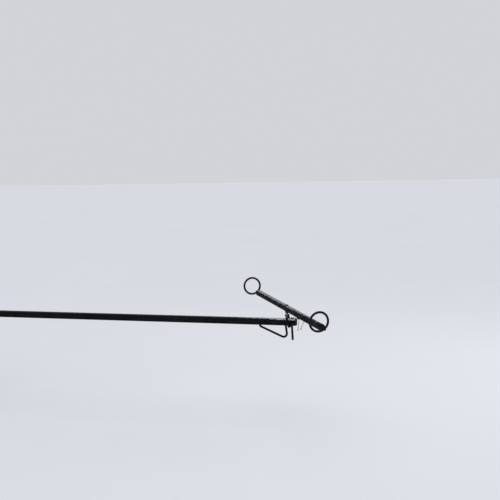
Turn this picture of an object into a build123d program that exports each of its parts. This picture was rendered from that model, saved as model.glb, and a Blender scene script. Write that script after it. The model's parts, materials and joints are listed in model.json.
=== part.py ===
from build123d import *
import math
import os

# Team pole of a horse-drawn wagon, with its neck yoke and evener.
# Frame: +X forward along the pole, +Y to the off side, +Z up.
# Origin: centre of the rear hitch bore, on the pole's axis.

os.makedirs("parts", exist_ok=True)

# ---------------------------------------------------------------- pole, mm
POLE = 38.1            # square tube, outside
POLE_WALL = 4.8
POLE_ROUND = 4.0       # outer corner radius
POLE_TIP = 3205.0      # front face of the end cap
POLE_START = 30.0
CAP_T = 3.0
HALF = POLE / 2

SLEEVE = 50.8          # reinforcing tube round the rear of the pole
SLEEVE_LEN = 640.0
SLEEVE_HALF = SLEEVE / 2

HITCH_OD = 42.2        # cross tube that the hitch pin goes through
HITCH_BORE_R = 13.2
HITCH_LEN = 300.0

BRACE = 25.4           # square bar from the cross tube to the sleeve
BRACE_REAR = (0.0, 124.0)
BRACE_FRONT_X = 385.0

# ---------------------------------------------------------------- evener, mm
EV_X = 450.0           # evener pin
EV_PIN_R = 9.5
EV_PIN_HOLE_R = 9.8
WEAR_T = 8.0
EV_GAP = 0.3
EV_PLATE_T = 5.0
EV_WOOD_T = 44.0
EV_LEN = 1290.0
EV_W_MID = 92.0
EV_W_END = 62.0
EV_BUSH_R = 15.9
STRAP_T = 10.0
STRAP_W = 50.0
STRAP_FOOT_X = 286.0
STRAP_RISER_X = 372.0
STRAP_NOSE_X = 484.0
STRAP_BOLTS_X = (308.0, 346.0)
ST_Y = 600.0           # singletree pins, to each side
ST_PIN_R = 7.9
ST_HALF = 381.0        # half length of a singletree without its hooks
ST_R_MID = 25.0
ST_R_END = 17.0
ST_BAND_R = 28.0
ST_BAND_LEN = 64.0
HOOK_R = 5.5

EV_Z0 = SLEEVE_HALF + WEAR_T + EV_GAP          # underside of the lower evener plate
EV_WOOD_Z0 = EV_Z0 + EV_PLATE_T
EV_WOOD_Z1 = EV_WOOD_Z0 + EV_WOOD_T
EV_Z1 = EV_WOOD_Z1 + EV_PLATE_T                # top of the upper evener plate
STRAP_Z0 = EV_Z1 + EV_GAP
ST_WASHER_T = 4.0
ST_Z = EV_Z1 + ST_WASHER_T + 0.4 + ST_BAND_R   # axis of the singletrees

# ---------------------------------------------------------------- front of the pole, mm
STOP_R = 6.35          # bent rod under the pole that stops the yoke link
STOP_REAR_TOP = (2983.6, -3.0)
STOP_REAR = (2983.6, -29.3)
STOP_VERTEX = (3150.2, -101.6)
STOP_TOP = (3137.7, -3.0)
STOP_REAR_BEND = 7.5
STOP_BEND = 20.5

KEEPER_R = 6.35        # drop pin ahead of the link
KEEPER_FOOT = (3180.6, -106.0)
KEEPER_BEND_AT = (3175.2, 25.75)
KEEPER_TIP = (3226.0, 25.75)
KEEPER_BEND = 8.5
KEEPER_FLAT_Z = 28.6   # its handle is forged flat on top

THONG_R = 1.3          # leather thong tied round the drop pin's handle
THONG_WRAP = (3212.5, 3223.0)
THONG_WRAP_W = 17.8
THONG_FLAT_Z = 16.8
KNOT_R = 3.6
KNOT_LEN = 8.0
# each tail of the thong: its route (x, z), from the wrap to its knot
THONG_TAILS = (
    ("a", ((3218.0, 16.8), (3218.0, 8.2), (3218.9, -1.0), (3218.6, -10.6), (3217.2, -20.2),
           (3215.2, -29.8), (3213.6, -39.2))),
    ("b", ((3223.0, 17.6), (3229.5, 17.6), (3237.0, 14.6), (3244.0, 10.6), (3248.4, 4.6), (3247.4, -2.8),
           (3243.2, -9.6), (3238.8, -17.0), (3235.0, -25.2), (3231.2, -36.0))),
)

LINK_R = 6.35          # stirrup link round the pole
LINK_X = 3164.0        # its lowest rod, at the pole's underside
LINK_Z = -HALF - LINK_R - 0.15
LINK_LEAN = 12.5       # top leans rearward
LINK_HALF_W = 27.0
LINK_TOP_Z = 38.0
LINK_CORNER = 12.0

# ---------------------------------------------------------------- neck yoke, mm
YOKE_X = 3150.0
YOKE_Z = 80.0
YOKE_SKEW = 32.7       # near end swung forward
YOKE_DROP = 1.75       # near end lower
YOKE_OD = 38.1
YOKE_WALL = 3.2
YOKE_EYE_AT = 613.5    # ring eye's centre from the bar's middle
YOKE_CAP_FACE = 581.0
YOKE_CAP_T = 12.0
EYE_R = 10.7           # ring eye: outside radius, hole radius and thickness
EYE_HOLE_R = 7.0
EYE_T = 8.5
NECK_R = (9.0, 6.0)    # neck between cap and eye
RING_R = 51.6          # breast strap ring: centre line radius and rod radius
RING_ROD = 6.35

SWIVEL_Z = LINK_TOP_Z + 0.3   # centre of the swivel eye
SWIVEL_R = 10.8
SWIVEL_ROD = 3.2
SHANK_R = 4.9

# ring eye's hole axis, near end (unit vector, square to the bar), and the ring's
# lean from the bar's outward line
RING_HINGE = Vector(0.6771, 0.4126, 0.6094)
RING_LEAN = 85.4

SIDES = (("near", -1), ("far", 1))


def write(part, name):
    part.label = name
    export_step(part, "parts/" + name + ".step")


# ================================================================ pole tube and its rear
with BuildPart() as pole_tube:
    with BuildSketch(Plane.YZ.offset(POLE_START)) as tube_outline:
        Rectangle(POLE, POLE)
        fillet(tube_outline.vertices(), POLE_ROUND)
        RectangleRounded(POLE - 2 * POLE_WALL, POLE - 2 * POLE_WALL, 1.5, mode=Mode.SUBTRACT)
    extrude(amount=POLE_TIP - CAP_T - POLE_START)
    with Locations((EV_X, 0, HALF)):
        Hole(EV_PIN_HOLE_R, POLE)
    with Locations(*[(x, 0, HALF) for x in STRAP_BOLTS_X]):
        Hole(6.6, POLE)
    with Locations((3176.3, 0, HALF)):
        Hole(7.6, POLE)
write(pole_tube.part, "pole_tube")

with BuildPart() as pole_cap:
    with BuildSketch(Plane.YZ.offset(POLE_TIP - CAP_T)) as cap_outline:
        Rectangle(POLE, POLE)
        fillet(cap_outline.vertices(), POLE_ROUND)
    extrude(amount=CAP_T)
    chamfer(pole_cap.faces().sort_by(Axis.X)[-1].edges(), 1.0)
write(pole_cap.part, "pole_cap")

with BuildPart() as pole_sleeve:
    with BuildSketch(Plane.YZ) as sleeve_outline:
        Rectangle(SLEEVE, SLEEVE)
        fillet(sleeve_outline.vertices(), 6.0)
        Rectangle(POLE, POLE, mode=Mode.SUBTRACT)
    extrude(amount=SLEEVE_LEN)
    Cylinder(HITCH_OD / 2, SLEEVE + 20, rotation=(90, 0, 0), mode=Mode.SUBTRACT)
    with Locations((EV_X, 0, SLEEVE_HALF)):
        Hole(EV_PIN_HOLE_R, SLEEVE)
    with Locations(*[(x, 0, SLEEVE_HALF) for x in STRAP_BOLTS_X]):
        Hole(6.6, SLEEVE)
write(pole_sleeve.part, "pole_sleeve")

with BuildPart() as hitch_tube:
    with BuildSketch(Plane.XZ.offset(-HITCH_LEN / 2)):
        Circle(HITCH_OD / 2)
        Circle(HITCH_BORE_R, mode=Mode.SUBTRACT)
    extrude(amount=HITCH_LEN)
    ends = hitch_tube.edges().filter_by(GeomType.CIRCLE).filter_by(
        lambda e: abs(e.radius - HITCH_OD / 2) < 0.01)
    chamfer(ends, 1.5)
write(hitch_tube.part, "hitch_tube")

for side, s in SIDES:
    rear = Vector(BRACE_REAR[0], s * BRACE_REAR[1], 0)
    front = Vector(BRACE_FRONT_X, s * SLEEVE_HALF, 0)
    run = front - rear
    with BuildPart() as brace:
        with BuildSketch(Plane(origin=rear, x_dir=(0, 0, 1), z_dir=run)) as brace_outline:
            Rectangle(BRACE, BRACE)
            fillet(brace_outline.vertices(), 2.5)
        extrude(amount=run.length + 120)
        Cylinder(HITCH_OD / 2, HITCH_LEN, rotation=(90, 0, 0), mode=Mode.SUBTRACT)
        with Locations((500, -s * (500 - SLEEVE_HALF), 0)):
            Box(1000, 1000, 100, mode=Mode.SUBTRACT)
        with Locations((-50, s * 100, 0)):
            Box(100, 200, 100, mode=Mode.SUBTRACT)
    write(brace.part, "brace_" + side)

# ================================================================ evener seat on the pole
with BuildPart() as wear_plate:
    with BuildSketch(Plane.XY.offset(SLEEVE_HALF)) as wear_outline:
        with Locations((EV_X, 0)):
            RectangleRounded(96, 80, 10)
            Circle(EV_PIN_HOLE_R, mode=Mode.SUBTRACT)
    extrude(amount=WEAR_T)
write(wear_plate.part, "evener_wear_plate")

with BuildPart() as hammer_strap:
    z0, z1 = SLEEVE_HALF, STRAP_Z0
    xr, xf = STRAP_RISER_X, STRAP_RISER_X + STRAP_T
    with BuildSketch(Plane.XZ):
        with BuildLine():
            Polyline((STRAP_FOOT_X, z0), (xf, z0), (xf, z1), (STRAP_NOSE_X, z1),
                     (STRAP_NOSE_X, z1 + STRAP_T), (xr, z1 + STRAP_T),
                     (xr, z0 + STRAP_T), (STRAP_FOOT_X, z0 + STRAP_T), close=True)
        make_face()
    extrude(amount=STRAP_W / 2, both=True)
    # bends: x, z, radius
    for bx, bz, br in ((xf, z0, 13.0), (xr, z0 + STRAP_T, 4.0), (xr, z1 + STRAP_T, 14.0), (xf, z1, 4.0)):
        fillet(hammer_strap.edges().filter_by(Axis.Y).filter_by(
            lambda e: abs(e.center().X - bx) < 0.1 and abs(e.center().Z - bz) < 0.1), br)
    fillet(hammer_strap.edges().filter_by(Axis.Z).group_by(Axis.X)[-1], 20)
    with Locations((EV_X, 0, z1 + STRAP_T)):
        Hole(EV_PIN_HOLE_R, STRAP_T)
    with Locations(*[(x, 0, z0 + STRAP_T) for x in STRAP_BOLTS_X]):
        Hole(6.6, STRAP_T)
write(hammer_strap.part, "hammer_strap")

with BuildPart() as strap_bolts:
    for x in STRAP_BOLTS_X:
        with BuildSketch(Plane.XY.offset(SLEEVE_HALF + STRAP_T)):
            with Locations((x, 0)):
                RegularPolygon(10.8, 6)
        extrude(amount=8.0)
        with BuildSketch(Plane.XY.offset(-SLEEVE_HALF - 10.0)):
            with Locations((x, 0)):
                RegularPolygon(10.8, 6)
        extrude(amount=10.0)
        with BuildSketch(Plane.XY.offset(-SLEEVE_HALF - 15.0)):
            with Locations((x, 0)):
                Circle(6.35)
        extrude(amount=2 * SLEEVE_HALF + STRAP_T + 18.0)
write(strap_bolts.part, "strap_bolts")

with BuildPart() as evener_pin:
    with BuildSketch(Plane.XY.offset(-SLEEVE_HALF - 34.0)):
        with Locations((EV_X, 0)):
            Circle(EV_PIN_R)
    extrude(amount=SLEEVE_HALF + 34.0 + STRAP_Z0 + STRAP_T + 5.0)
    with BuildSketch(Plane.XY.offset(STRAP_Z0 + STRAP_T)):
        with Locations((EV_X, 0)):
            RegularPolygon(16.6, 6)
    extrude(amount=12.0)
    with BuildSketch(Plane.XY.offset(-SLEEVE_HALF - 16.0)):
        with Locations((EV_X, 0)):
            RegularPolygon(16.6, 6)
    extrude(amount=16.0)
    chamfer(evener_pin.faces().sort_by(Axis.Z)[0].edges(), 1.5)
write(evener_pin.part, "evener_pin")

# ================================================================ pole end: stop, drop pin, link
with BuildPart() as yoke_stop:
    with BuildLine(Plane.XZ) as stop_line:
        FilletPolyline(STOP_REAR_TOP, STOP_REAR, STOP_VERTEX, STOP_TOP, radius=[STOP_REAR_BEND, STOP_BEND])
    with BuildSketch(stop_line.line ^ 0):
        Circle(STOP_R)
    sweep()
    with Locations((3050, 0, -HALF + 50)):
        Box(400, 100, 100, mode=Mode.SUBTRACT)
write(yoke_stop.part, "yoke_stop")

with BuildPart() as keeper_pin:
    with BuildLine(Plane.XZ) as keeper_line:
        FilletPolyline(KEEPER_FOOT, KEEPER_BEND_AT, KEEPER_TIP, radius=KEEPER_BEND)
    with BuildSketch(keeper_line.line ^ 0):
        Circle(KEEPER_R)
    sweep()
    fillet(keeper_pin.faces().sort_by(Axis.Z)[0].edges(), 2.0)
    fillet(keeper_pin.faces().sort_by(Axis.X)[-1].edges(), 2.0)
    with Locations((3200, 0, KEEPER_FLAT_Z + 10)):
        Box(100, 40, 20, mode=Mode.SUBTRACT)
write(keeper_pin.part, "keeper_pin")

# thong: a wrap round the handle and two knotted tails
handle_z = KEEPER_BEND_AT[1]
wrap_h = handle_z - KEEPER_R + KEEPER_FLAT_Z - 2 * THONG_FLAT_Z
with BuildPart() as handle_core:
    with Locations(Location((THONG_WRAP[0], 0, handle_z), (0, 90, 0))):
        Cylinder(KEEPER_R, 60)
    with Locations((THONG_WRAP[0], 0, KEEPER_FLAT_Z + 10)):
        Box(80, 40, 20, mode=Mode.SUBTRACT)
with BuildPart() as thong_wrap:
    with BuildSketch(Plane.YZ.offset(THONG_WRAP[0])):
        with Locations((0, THONG_FLAT_Z + wrap_h / 2)):
            RectangleRounded(THONG_WRAP_W, wrap_h, 5.5)
    extrude(amount=THONG_WRAP[1] - THONG_WRAP[0])
    add(handle_core.part, mode=Mode.SUBTRACT)
write(thong_wrap.part, "thong_wrap")

for tail, route in THONG_TAILS:
    runs = [math.dist(p, q) for p, q in zip(route, route[1:])]
    turns = [math.degrees(math.acos(max(-1, min(1, sum((b[i] - a[i]) * (c[i] - b[i]) for i in (0, 1))
                                                / math.dist(a, b) / math.dist(b, c)))))
             for a, b, c in zip(route, route[1:], route[2:])]
    radii = [0.45 * min(r0, r1) / math.tan(math.radians(t / 2)) for r0, r1, t in zip(runs, runs[1:], turns)]
    print("thong", tail, "radii", [round(r, 1) for r in radii], "length", round(sum(runs), 1))
    with BuildPart() as thong_tail:
        with BuildLine(Plane.XZ) as thong_line:
            FilletPolyline(*route, radius=radii)
        with BuildSketch(thong_line.line ^ 0):
            Circle(THONG_R)
        sweep()
    write(thong_tail.part, "thong_tail_" + tail)
    (ax, az), (bx, bz) = route[-2:]
    with BuildPart() as thong_knot:
        with BuildSketch(Plane(origin=(bx, 0, bz), z_dir=(bx - ax, 0, bz - az))):
            Circle(KNOT_R)
        extrude(amount=KNOT_LEN)
        fillet(thong_knot.edges().filter_by(GeomType.CIRCLE), 1.6)
    write(thong_knot.part, "thong_knot_" + tail)

lean = math.radians(LINK_LEAN)
link_plane = Plane(origin=(LINK_X, 0, LINK_Z), x_dir=(0, 1, 0), z_dir=(math.cos(lean), 0, math.sin(lean)))
link_top = (LINK_TOP_Z - LINK_Z) / math.cos(lean)
with BuildPart() as yoke_link:
    w, c, t = LINK_HALF_W, LINK_CORNER, link_top - LINK_HALF_W
    k = math.sqrt(0.5)
    with BuildLine(link_plane) as link_line:
        Line((0, 0), (w - c, 0))
        ThreePointArc((w - c, 0), (w - c + c * k, c - c * k), (w, c))
        Line((w, c), (w, t))
        ThreePointArc((w, t), (0, link_top), (-w, t))
        Line((-w, t), (-w, c))
        ThreePointArc((-w, c), (-w + c - c * k, c - c * k), (-w + c, 0))
        Line((-w + c, 0), (0, 0))
    with BuildSketch(Plane(origin=(LINK_X, 0, LINK_Z), z_dir=(0, 1, 0))):
        Circle(LINK_R)
    sweep()
write(yoke_link.part, "yoke_link")

# ================================================================ neck yoke
skew, drop = math.radians(YOKE_SKEW), math.radians(YOKE_DROP)
mid = Vector(YOKE_X, 0, YOKE_Z)
along = Vector(math.cos(drop) * math.sin(skew), -math.cos(drop) * math.cos(skew), -math.sin(drop))
link_apex_x = LINK_X - (LINK_TOP_Z - LINK_Z) * math.tan(lean)
print("link apex x", round(link_apex_x, 2))

with BuildPart() as yoke_swivel:
    with Locations(Location((YOKE_X, 0, SWIVEL_Z), (90, 0, 0))):
        Torus(SWIVEL_R, SWIVEL_ROD)
    with BuildSketch(Plane.XY.offset(SWIVEL_Z + SWIVEL_R)):
        with Locations((YOKE_X, 0)):
            Circle(SHANK_R)
    extrude(amount=YOKE_Z + YOKE_OD / 2 + 2.0 - SWIVEL_Z - SWIVEL_R)
    with BuildSketch(Plane.XY.offset(YOKE_Z + YOKE_OD / 2 + 0.6)):
        with Locations((YOKE_X, 0)):
            Circle(8.6)
    extrude(amount=2.8)
    fillet(yoke_swivel.faces().sort_by(Axis.Z)[-1].edges(), 1.6)
write(yoke_swivel.part, "yoke_swivel")

with BuildPart() as yoke_bar:
    with BuildSketch(Plane(origin=mid - along * (YOKE_CAP_FACE - YOKE_CAP_T), z_dir=along)):
        Circle(YOKE_OD / 2)
        Circle(YOKE_OD / 2 - YOKE_WALL, mode=Mode.SUBTRACT)
    extrude(amount=2 * (YOKE_CAP_FACE - YOKE_CAP_T))
    with Locations((YOKE_X, 0, YOKE_Z)):
        Cylinder(SHANK_R + 0.08, 60, mode=Mode.SUBTRACT)
write(yoke_bar.part, "yoke_bar")

with BuildPart() as yoke_boss:
    with Locations((YOKE_X, 0, YOKE_Z - 12.4)):
        Cylinder(12.0, 24.8)
        Cylinder(SHANK_R + 0.08, 60, mode=Mode.SUBTRACT)
    with Locations(Plane(origin=mid, z_dir=along).location):
        Cylinder(YOKE_OD / 2, 80, mode=Mode.SUBTRACT)
write(yoke_boss.part, "yoke_boss")


def mirrored(v):
    return v - along * (2 * v.dot(along))


across = (RING_HINGE - along * RING_HINGE.dot(along)).normalized()
lean_back = math.radians(RING_LEAN)
near_lie = along * math.cos(lean_back) + along.cross(across) * math.sin(lean_back)

for side, s in SIDES:
    out = along * -s
    hinge = across
    lie = near_lie if s < 0 else mirrored(near_lie)
    eye = mid + out * YOKE_EYE_AT
    with BuildPart() as lug:
        with Locations(Plane(origin=eye, z_dir=hinge).location):
            Cylinder(EYE_R, EYE_T)
        fillet(lug.edges(), 1.4)
    with BuildPart() as yoke_end:
        with BuildSketch(Plane(origin=mid + out * (YOKE_CAP_FACE - YOKE_CAP_T), z_dir=out)):
            Circle(YOKE_OD / 2)
        extrude(amount=YOKE_CAP_T)
        fillet(yoke_end.edges().sort_by(Axis(tuple(mid), tuple(out)))[-1], 3.5)
        neck = YOKE_EYE_AT - YOKE_CAP_FACE - 3.0
        with Locations(Plane(origin=mid + out * (YOKE_CAP_FACE - 1.0 + (neck + 1.0) / 2), z_dir=out).location):
            Cone(NECK_R[0], NECK_R[1], neck + 1.0)
        add(lug.part)
        with Locations(Plane(origin=eye, z_dir=hinge).location):
            Cylinder(EYE_HOLE_R, 40, mode=Mode.SUBTRACT)
    write(yoke_end.part, "yoke_end_" + side)
    centre = eye + lie * RING_R
    with BuildPart() as ring:
        with Locations(Plane(origin=centre, x_dir=lie, z_dir=hinge.cross(lie)).location):
            Torus(RING_R, RING_ROD)
    write(ring.part, "breast_ring_" + side)
    print(side, "eye", tuple(round(x, 3) for x in eye), "hinge", tuple(round(x, 4) for x in hinge),
          "ring centre", tuple(round(x, 3) for x in centre), "ring normal",
          tuple(round(x, 4) for x in hinge.cross(lie)))

# ================================================================ evener
with BuildPart() as evener_beam:
    with BuildSketch(Plane.XY.offset(EV_WOOD_Z0)):
        with BuildLine():
            m, e, h = EV_W_MID / 2, EV_W_END / 2, EV_LEN / 2
            Polyline((EV_X + m, -90), (EV_X + m, 90), (EV_X + e, h), (EV_X - e, h),
                     (EV_X - m, 90), (EV_X - m, -90), (EV_X - e, -h), (EV_X + e, -h), close=True)
        make_face()
        with Locations((EV_X, 0)):
            Circle(EV_BUSH_R, mode=Mode.SUBTRACT)
        with Locations((EV_X, ST_Y), (EV_X, -ST_Y)):
            Circle(ST_PIN_R + 0.2, mode=Mode.SUBTRACT)
    extrude(amount=EV_WOOD_T)
    fillet(evener_beam.edges().filter_by(Axis.Z).group_by(Axis.Y)[0]
           + evener_beam.edges().filter_by(Axis.Z).group_by(Axis.Y)[-1], 12)
    fillet(evener_beam.edges().filter_by(Axis.Y), 5)
write(evener_beam.part, "evener_beam")

with BuildPart() as evener_plates:
    for z in (EV_Z0, EV_WOOD_Z1):
        with BuildSketch(Plane.XY.offset(z)):
            with Locations((EV_X, 0)):
                RectangleRounded(76, 200, 12)
                Circle(EV_BUSH_R, mode=Mode.SUBTRACT)
        extrude(amount=EV_PLATE_T)
write(evener_plates.part, "evener_plates")

with BuildPart() as evener_bush:
    with BuildSketch(Plane.XY.offset(EV_Z0)):
        with Locations((EV_X, 0)):
            Circle(EV_BUSH_R)
            Circle(EV_PIN_R + 0.08, mode=Mode.SUBTRACT)
    extrude(amount=EV_Z1 - EV_Z0)
write(evener_bush.part, "evener_bush")

for side, s in SIDES:
    with BuildPart() as end_plates:
        for z in (EV_Z0, EV_WOOD_Z1):
            with BuildSketch(Plane.XY.offset(z)):
                with Locations((EV_X, s * (ST_Y - 25))):
                    RectangleRounded(46, 120, 10)
                with Locations((EV_X, s * ST_Y)):
                    Circle(ST_PIN_R + 0.2, mode=Mode.SUBTRACT)
            extrude(amount=EV_PLATE_T)
    write(end_plates.part, "evener_end_plates_" + side)

    top = ST_Z + ST_BAND_R + 0.4
    with BuildPart() as st_pin:
        with BuildSketch(Plane.XY.offset(EV_Z0 - 7.0)):
            with Locations((EV_X, s * ST_Y)):
                RegularPolygon(13.5, 6)
        extrude(amount=7.0)
        with BuildSketch(Plane.XY.offset(EV_Z0 - 2.0)):
            with Locations((EV_X, s * ST_Y)):
                Circle(ST_PIN_R)
        extrude(amount=top + 22.0 - EV_Z0)
        with BuildSketch(Plane.XY.offset(EV_Z1)):
            with Locations((EV_X, s * ST_Y)):
                Circle(17.0)
        extrude(amount=ST_WASHER_T)
        with BuildSketch(Plane.XY.offset(top)):
            with Locations((EV_X, s * ST_Y)):
                Circle(15.0)
        extrude(amount=2.5)
        with BuildSketch(Plane.XY.offset(top + 2.5)):
            with Locations((EV_X, s * ST_Y)):
                RegularPolygon(13.5, 6)
        extrude(amount=12.0)
    write(st_pin.part, "singletree_pin_" + side)

    axis_plane = Plane(origin=(EV_X, s * ST_Y, ST_Z), x_dir=(1, 0, 0), z_dir=(0, 1, 0))
    with BuildPart() as bar:
        with BuildSketch(Plane(origin=(EV_X, s * ST_Y, ST_Z), x_dir=(0, 1, 0), z_dir=(1, 0, 0))):
            with BuildLine():
                Polyline((-ST_HALF + 4, 0), (-ST_HALF + 4, ST_R_END), (-ST_HALF + 44, ST_R_END),
                         (-130, ST_R_MID - 1.0), (-50, ST_R_MID), (50, ST_R_MID), (130, ST_R_MID - 1.0),
                         (ST_HALF - 44, ST_R_END), (ST_HALF - 4, ST_R_END), (ST_HALF - 4, 0), close=True)
            make_face()
        revolve(axis=Axis((EV_X, s * ST_Y, ST_Z), (0, 1, 0)))
        with Locations((EV_X, s * ST_Y, ST_Z)):
            Cylinder(ST_PIN_R + 0.3, 80, mode=Mode.SUBTRACT)
    write(bar.part, "singletree_" + side)

    with BuildPart() as band:
        with BuildSketch(axis_plane.offset(-ST_BAND_LEN / 2)):
            Circle(ST_BAND_R)
            Circle(ST_R_MID, mode=Mode.SUBTRACT)
        extrude(amount=ST_BAND_LEN)
        with Locations((EV_X, s * ST_Y, ST_Z)):
            Cylinder(ST_PIN_R + 0.08, 80, mode=Mode.SUBTRACT)
    write(band.part, "singletree_band_" + side)

    for end, e in (("inner", -s), ("outer", s)):
        y_end = s * ST_Y + e * ST_HALF
        with BuildPart() as hook:
            with BuildSketch(Plane(origin=(EV_X, y_end - e * 40, ST_Z), x_dir=(1, 0, 0), z_dir=(0, e, 0))):
                Circle(ST_R_END + 2.5)
            extrude(amount=40.0)
            fillet(hook.faces().sort_by(Axis((0, 0, 0), (0, e, 0)))[-1].edges(), 6.0)
            with BuildSketch(Plane(origin=(EV_X, y_end - e * 44, ST_Z), x_dir=(1, 0, 0), z_dir=(0, e, 0))):
                Circle(ST_R_END)
            extrude(amount=40.0, mode=Mode.SUBTRACT)
            with BuildLine(Plane.XY.offset(ST_Z)) as hook_line:
                FilletPolyline((EV_X, y_end - e * 3), (EV_X, y_end + e * 17), (EV_X + 48, y_end + e * 17),
                               (EV_X + 48, y_end + e * 45), (EV_X + 10, y_end + e * 45),
                               radius=[11.0, 13.9, 13.9])
            with BuildSketch(hook_line.line ^ 0):
                Circle(HOOK_R)
            sweep()
        write(hook.part, "trace_hook_" + side + "_" + end)

print("evener z", EV_Z0, EV_Z1, "strap underside", STRAP_Z0, "singletree axis", ST_Z)
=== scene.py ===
import json
import math

import bpy
import numpy as np
from mathutils import Matrix, Vector, noise


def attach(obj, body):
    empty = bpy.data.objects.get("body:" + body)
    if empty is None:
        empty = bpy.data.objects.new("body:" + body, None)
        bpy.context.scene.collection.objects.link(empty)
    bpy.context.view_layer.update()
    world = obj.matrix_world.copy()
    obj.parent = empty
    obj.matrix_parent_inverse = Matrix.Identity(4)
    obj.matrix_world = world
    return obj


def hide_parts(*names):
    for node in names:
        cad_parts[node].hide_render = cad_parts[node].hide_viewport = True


# Looks for a wagon's team pole with its neck yoke and evener.
# Row frame, metres: +X forward along the pole, +Y to the off side, +Z up.

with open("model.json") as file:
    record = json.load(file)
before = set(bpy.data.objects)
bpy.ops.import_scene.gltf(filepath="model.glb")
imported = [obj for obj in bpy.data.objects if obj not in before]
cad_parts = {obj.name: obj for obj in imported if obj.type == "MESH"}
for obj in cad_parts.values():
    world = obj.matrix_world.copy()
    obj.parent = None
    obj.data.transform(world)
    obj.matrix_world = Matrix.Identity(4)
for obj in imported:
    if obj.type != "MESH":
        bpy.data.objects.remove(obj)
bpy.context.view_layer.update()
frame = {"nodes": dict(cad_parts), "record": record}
record = frame["record"]
nodes = frame["nodes"]
scene = bpy.context.scene
scene.view_settings.view_transform = "Standard"

FLOOR_Z = -0.66

# ------------------------------------------------------------------ camera
psi = math.radians(16.6)               # yaw of the view from +Y
pitch = math.atan(90.0 / 940.0)        # looking slightly down
roll = math.radians(-1.25)
forward = Vector((-math.sin(psi) * math.cos(pitch), math.cos(psi) * math.cos(pitch), -math.sin(pitch)))
right = Vector((math.cos(psi), math.sin(psi), 0.0))
up = right.cross(forward)
cam_right = right * math.cos(roll) + up * math.sin(roll)
cam_up = up * math.cos(roll) - right * math.sin(roll)
camera_data = bpy.data.cameras.new("view")
camera_data.sensor_width = 36.0
camera_data.lens = 36.0 * 940.0 / 500.0
camera_data.clip_end = 200.0
camera = bpy.data.objects.new("view", camera_data)
turn = Matrix((cam_right, cam_up, -forward)).transposed().to_4x4()
camera.matrix_world = Matrix.Translation((4.50563, -5.28274, 0.95053)) @ turn
scene.collection.objects.link(camera)
scene.camera = camera

# ------------------------------------------------------------------ thong: its two tails, first of all
# routes (x, z) in metres, in the plane y = 0, from the wrap to the knot
THONG_R = 0.0013
THONG_ROUTES = {
    "a": ((3.2180, 0.0168), (3.2180, 0.0082), (3.2189, -0.0010), (3.2186, -0.0106), (3.2172, -0.0202),
          (3.2151, -0.0304), (3.2132, -0.0417)),
    "b": ((3.2230, 0.0176), (3.2295, 0.0176), (3.2370, 0.0146), (3.2440, 0.0106), (3.2484, 0.0046),
          (3.2474, -0.0028), (3.2432, -0.0096), (3.2390, -0.0170), (3.2355, -0.0256), (3.2322, -0.0371)),
}


def route_points(name, route):
    """Points read from the route's NURBS spline, in metres."""
    data = bpy.data.curves.new(name, "CURVE")
    data.dimensions = "3D"
    data.resolution_u = 8
    spline = data.splines.new("NURBS")
    spline.points.add(len(route) - 1)
    for p, (x, z) in zip(spline.points, route):
        p.co = (x, 0.0, z, 1.0)
    spline.order_u = 3
    spline.use_endpoint_u = True
    bare = bpy.data.objects.new(name, data)
    mesh = bpy.data.meshes.new_from_object(bare)
    line = [v.co.copy() for v in mesh.vertices]
    bpy.data.meshes.remove(mesh)
    bpy.data.objects.remove(bare)
    bpy.data.curves.remove(data)
    return line


def lace(name, line, twist, seed):
    """A leather lace: a flattened tube round the line, twisting a little along its length."""
    sides = 14
    verts, faces = [], []
    for i, p in enumerate(line):
        t = (line[min(i + 1, len(line) - 1)] - line[max(i - 1, 0)]).normalized()
        across = Vector((0.0, 1.0, 0.0))
        third = t.cross(across)
        a = twist * i / (len(line) - 1)
        u = across * math.cos(a) + third * math.sin(a)
        w = t.cross(u)
        for k in range(sides):
            b = 2 * math.pi * k / sides
            q = p + u * THONG_R * 1.08 * math.cos(b) + w * THONG_R * 0.82 * math.sin(b)
            q += (q - p) * (noise.noise(q * 420.0 + Vector((seed, 0, 0))) * 0.16)
            verts.append(tuple(q))
    n = len(line)
    for i in range(n - 1):
        for k in range(sides):
            j = (k + 1) % sides
            faces.append((i * sides + k, i * sides + j, (i + 1) * sides + j, (i + 1) * sides + k))
    faces.append(tuple(reversed(range(sides))))
    faces.append(tuple((n - 1) * sides + k for k in range(sides)))
    mesh = bpy.data.meshes.new(name)
    mesh.from_pydata(verts, [], faces)
    mesh.update()
    mesh.polygons.foreach_set("use_smooth", [True] * len(mesh.polygons))
    obj = bpy.data.objects.new(name, mesh)
    scene.collection.objects.link(obj)
    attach(obj, "pole")
    return obj


tails, tail_lines = {}, {}
for key, route in THONG_ROUTES.items():
    tail_lines[key] = route_points("thong_route_" + key, route)
    tails[key] = lace("thong_lace_" + key, tail_lines[key], 1.6 if key == "a" else -2.4, 3.0 if key == "a" else 8.0)
    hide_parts("thong_tail_" + key)


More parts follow.
